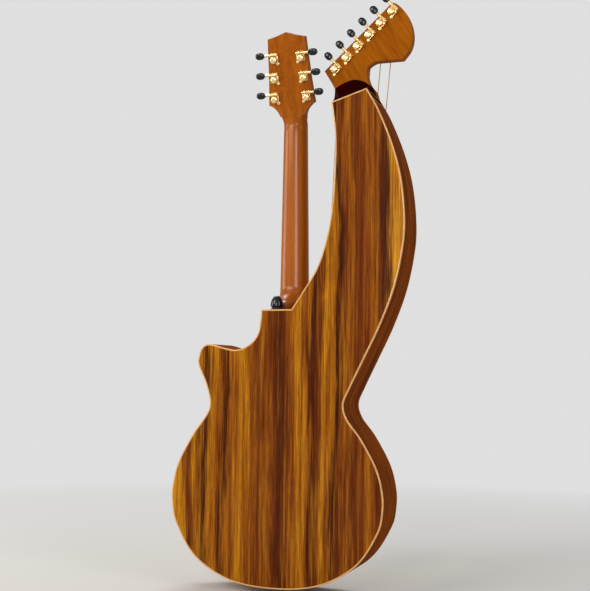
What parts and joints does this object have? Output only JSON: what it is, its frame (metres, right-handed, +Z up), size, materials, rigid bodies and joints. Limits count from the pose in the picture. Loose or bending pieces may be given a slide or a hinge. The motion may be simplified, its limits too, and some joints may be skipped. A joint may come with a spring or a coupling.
{
  "type": "harp guitar",
  "caption": "Hollow-bodied steel-string guitar with a cutaway and a hollow arm that rises beside the neck to a second head for open bass strings.",
  "frame": {"origin": "seat of the end pin on the tail, at half the depth of the sides there", "axes": "+Z up the neck, -Y out of the soundboard, -X towards the harp arm"},
  "size_m": [0.4363, 0.12, 1.0927],
  "materials": {
    "back_wood": "high gloss lacquer",
    "side_wood": "high gloss lacquer",
    "soundboard_wood": "gloss lacquer",
    "binding": "gloss",
    "neck_wood": "satin",
    "harp_head_wood": "high gloss lacquer",
    "fingerboard_wood": "oiled, with set metal frets",
    "bone": "polished",
    "bridge_wood": "oiled",
    "black_pins": "gloss",
    "tuner_gold": "gold plated",
    "tuner_buttons": "gloss black on a gold shaft",
    "wound_string": "wound",
    "plain_string": "bright"
  },
  "bodies": {
    "instrument": {"back_plate": "back_wood", "side_rim": "side_wood", "soundboard": "soundboard_wood", "body_binding": "binding", "neck": "neck_wood", "harp_head": "harp_head_wood", "fingerboard": "fingerboard_wood", "nut": "bone", "harp_nut": "bone", "bridge": "bridge_wood", "end_pin": "black_pins", "strap_button": "black_pins", "tuner_1_plate": "tuner_gold", "tuner_2_plate": "tuner_gold", "tuner_3_plate": "tuner_gold", "tuner_4_plate": "tuner_gold", "tuner_5_plate": "tuner_gold", "tuner_6_plate": "tuner_gold", "harp_tuner_1_plate": "tuner_gold", "harp_tuner_2_plate": "tuner_gold", "harp_tuner_3_plate": "tuner_gold", "harp_tuner_4_plate": "tuner_gold", "harp_tuner_5_plate": "tuner_gold", "harp_tuner_6_plate": "tuner_gold", "string_1": "wound_string", "string_2": "wound_string", "string_3": "wound_string", "string_4": "wound_string", "string_5": "plain_string", "string_6": "plain_string", "harp_string_1": "wound_string", "harp_string_2": "wound_string", "harp_string_3": "wound_string", "harp_string_4": "wound_string", "harp_string_5": "wound_string", "harp_string_6": "wound_string"},
    "tuner_1_worm": {"tuner_1_worm": "tuner_buttons"},
    "tuner_1_gear": {"tuner_1_gear": "tuner_gold"},
    "tuner_2_worm": {"tuner_2_worm": "tuner_buttons"},
    "tuner_2_gear": {"tuner_2_gear": "tuner_gold"},
    "tuner_3_worm": {"tuner_3_worm": "tuner_buttons"},
    "tuner_3_gear": {"tuner_3_gear": "tuner_gold"},
    "tuner_4_worm": {"tuner_4_worm": "tuner_buttons"},
    "tuner_4_gear": {"tuner_4_gear": "tuner_gold"},
    "tuner_5_worm": {"tuner_5_worm": "tuner_buttons"},
    "tuner_5_gear": {"tuner_5_gear": "tuner_gold"},
    "tuner_6_worm": {"tuner_6_worm": "tuner_buttons"},
    "tuner_6_gear": {"tuner_6_gear": "tuner_gold"},
    "harp_tuner_1_worm": {"harp_tuner_1_worm": "tuner_buttons"},
    "harp_tuner_1_gear": {"harp_tuner_1_gear": "tuner_gold"},
    "harp_tuner_2_worm": {"harp_tuner_2_worm": "tuner_buttons"},
    "harp_tuner_2_gear": {"harp_tuner_2_gear": "tuner_gold"},
    "harp_tuner_3_worm": {"harp_tuner_3_worm": "tuner_buttons"},
    "harp_tuner_3_gear": {"harp_tuner_3_gear": "tuner_gold"},
    "harp_tuner_4_worm": {"harp_tuner_4_worm": "tuner_buttons"},
    "harp_tuner_4_gear": {"harp_tuner_4_gear": "tuner_gold"},
    "harp_tuner_5_worm": {"harp_tuner_5_worm": "tuner_buttons"},
    "harp_tuner_5_gear": {"harp_tuner_5_gear": "tuner_gold"},
    "harp_tuner_6_worm": {"harp_tuner_6_worm": "tuner_buttons"},
    "harp_tuner_6_gear": {"harp_tuner_6_gear": "tuner_gold"}
  },
  "joints": [
    {"name": "tuner_1_worm_turn", "type": "hinge", "parent": "instrument", "child": "tuner_1_worm", "pos_m": [-0.03179, -0.01627, 0.90546], "axis": [-1, 0, 0], "continuous": true},
    {"name": "tuner_1_gear_turn", "type": "hinge", "parent": "instrument", "child": "tuner_1_gear", "pos_m": [-0.03179, -0.02444, 0.89823], "axis": [0, 0.9563, -0.2924], "continuous": true},
    {"name": "tuner_2_worm_turn", "type": "hinge", "parent": "instrument", "child": "tuner_2_worm", "pos_m": [-0.02923, -0.00558, 0.94041], "axis": [-1, 0, 0], "continuous": true},
    {"name": "tuner_2_gear_turn", "type": "hinge", "parent": "instrument", "child": "tuner_2_gear", "pos_m": [-0.02923, -0.01375, 0.93319], "axis": [0, 0.9563, -0.2924], "continuous": true},
    {"name": "tuner_3_worm_turn", "type": "hinge", "parent": "instrument", "child": "tuner_3_worm", "pos_m": [-0.02668, 0.0051, 0.97537], "axis": [-1, 0, 0], "continuous": true},
    {"name": "tuner_3_gear_turn", "type": "hinge", "parent": "instrument", "child": "tuner_3_gear", "pos_m": [-0.02668, -0.00307, 0.96814], "axis": [0, 0.9563, -0.2924], "continuous": true},
    {"name": "tuner_4_worm_turn", "type": "hinge", "parent": "instrument", "child": "tuner_4_worm", "pos_m": [0.02668, 0.0051, 0.97537], "axis": [1, 0, 0], "continuous": true},
    {"name": "tuner_4_gear_turn", "type": "hinge", "parent": "instrument", "child": "tuner_4_gear", "pos_m": [0.02668, -0.00307, 0.96814], "axis": [0, 0.9563, -0.2924], "continuous": true},
    {"name": "tuner_5_worm_turn", "type": "hinge", "parent": "instrument", "child": "tuner_5_worm", "pos_m": [0.02923, -0.00558, 0.94041], "axis": [1, 0, 0], "continuous": true},
    {"name": "tuner_5_gear_turn", "type": "hinge", "parent": "instrument", "child": "tuner_5_gear", "pos_m": [0.02923, -0.01375, 0.93319], "axis": [0, 0.9563, -0.2924], "continuous": true},
    {"name": "tuner_6_worm_turn", "type": "hinge", "parent": "instrument", "child": "tuner_6_worm", "pos_m": [0.03179, -0.01627, 0.90546], "axis": [1, 0, 0], "continuous": true},
    {"name": "tuner_6_gear_turn", "type": "hinge", "parent": "instrument", "child": "tuner_6_gear", "pos_m": [0.03179, -0.02444, 0.89823], "axis": [0, 0.9563, -0.2924], "continuous": true},
    {"name": "harp_tuner_1_worm_turn", "type": "hinge", "parent": "instrument", "child": "harp_tuner_1_worm", "pos_m": [-0.08972, -0.0283, 0.95552], "axis": [0.6719, 0, 0.7407], "continuous": true},
    {"name": "harp_tuner_1_gear_turn", "type": "hinge", "parent": "instrument", "child": "harp_tuner_1_gear", "pos_m": [-0.08284, -0.034, 0.94927], "axis": [0, 1, 0], "continuous": true},
    {"name": "harp_tuner_2_worm_turn", "type": "hinge", "parent": "instrument", "child": "harp_tuner_2_worm", "pos_m": [-0.11165, -0.0283, 0.97541], "axis": [0.6719, 0, 0.7407], "continuous": true},
    {"name": "harp_tuner_2_gear_turn", "type": "hinge", "parent": "instrument", "child": "harp_tuner_2_gear", "pos_m": [-0.10476, -0.034, 0.96916], "axis": [0, 1, 0], "continuous": true},
    {"name": "harp_tuner_3_worm_turn", "type": "hinge", "parent": "instrument", "child": "harp_tuner_3_worm", "pos_m": [-0.13357, -0.0283, 0.99529], "axis": [0.6719, 0, 0.7407], "continuous": true},
    {"name": "harp_tuner_3_gear_turn", "type": "hinge", "parent": "instrument", "child": "harp_tuner_3_gear", "pos_m": [-0.12668, -0.034, 0.98905], "axis": [0, 1, 0], "continuous": true},
    {"name": "harp_tuner_4_worm_turn", "type": "hinge", "parent": "instrument", "child": "harp_tuner_4_worm", "pos_m": [-0.1555, -0.0283, 1.01518], "axis": [0.6719, 0, 0.7407], "continuous": true},
    {"name": "harp_tuner_4_gear_turn", "type": "hinge", "parent": "instrument", "child": "harp_tuner_4_gear", "pos_m": [-0.14861, -0.034, 1.00893], "axis": [0, 1, 0], "continuous": true},
    {"name": "harp_tuner_5_worm_turn", "type": "hinge", "parent": "instrument", "child": "harp_tuner_5_worm", "pos_m": [-0.17742, -0.0283, 1.03507], "axis": [0.6719, 0, 0.7407], "continuous": true},
    {"name": "harp_tuner_5_gear_turn", "type": "hinge", "parent": "instrument", "child": "harp_tuner_5_gear", "pos_m": [-0.17053, -0.034, 1.02882], "axis": [0, 1, 0], "continuous": true},
    {"name": "harp_tuner_6_worm_turn", "type": "hinge", "parent": "instrument", "child": "harp_tuner_6_worm", "pos_m": [-0.19934, -0.0283, 1.05496], "axis": [0.6719, 0, 0.7407], "continuous": true},
    {"name": "harp_tuner_6_gear_turn", "type": "hinge", "parent": "instrument", "child": "harp_tuner_6_gear", "pos_m": [-0.19246, -0.034, 1.04871], "axis": [0, 1, 0], "continuous": true}
  ],
  "couplings": [
    {"joint": "tuner_1_gear_turn", "follows": "tuner_1_worm_turn", "ratio": -0.083333},
    {"joint": "tuner_2_gear_turn", "follows": "tuner_2_worm_turn", "ratio": -0.083333},
    {"joint": "tuner_3_gear_turn", "follows": "tuner_3_worm_turn", "ratio": -0.083333},
    {"joint": "tuner_4_gear_turn", "follows": "tuner_4_worm_turn", "ratio": -0.083333},
    {"joint": "tuner_5_gear_turn", "follows": "tuner_5_worm_turn", "ratio": -0.083333},
    {"joint": "tuner_6_gear_turn", "follows": "tuner_6_worm_turn", "ratio": -0.083333},
    {"joint": "harp_tuner_1_gear_turn", "follows": "harp_tuner_1_worm_turn", "ratio": -0.083333},
    {"joint": "harp_tuner_2_gear_turn", "follows": "harp_tuner_2_worm_turn", "ratio": -0.083333},
    {"joint": "harp_tuner_3_gear_turn", "follows": "harp_tuner_3_worm_turn", "ratio": -0.083333},
    {"joint": "harp_tuner_4_gear_turn", "follows": "harp_tuner_4_worm_turn", "ratio": -0.083333},
    {"joint": "harp_tuner_5_gear_turn", "follows": "harp_tuner_5_worm_turn", "ratio": -0.083333},
    {"joint": "harp_tuner_6_gear_turn", "follows": "harp_tuner_6_worm_turn", "ratio": -0.083333}
  ]
}
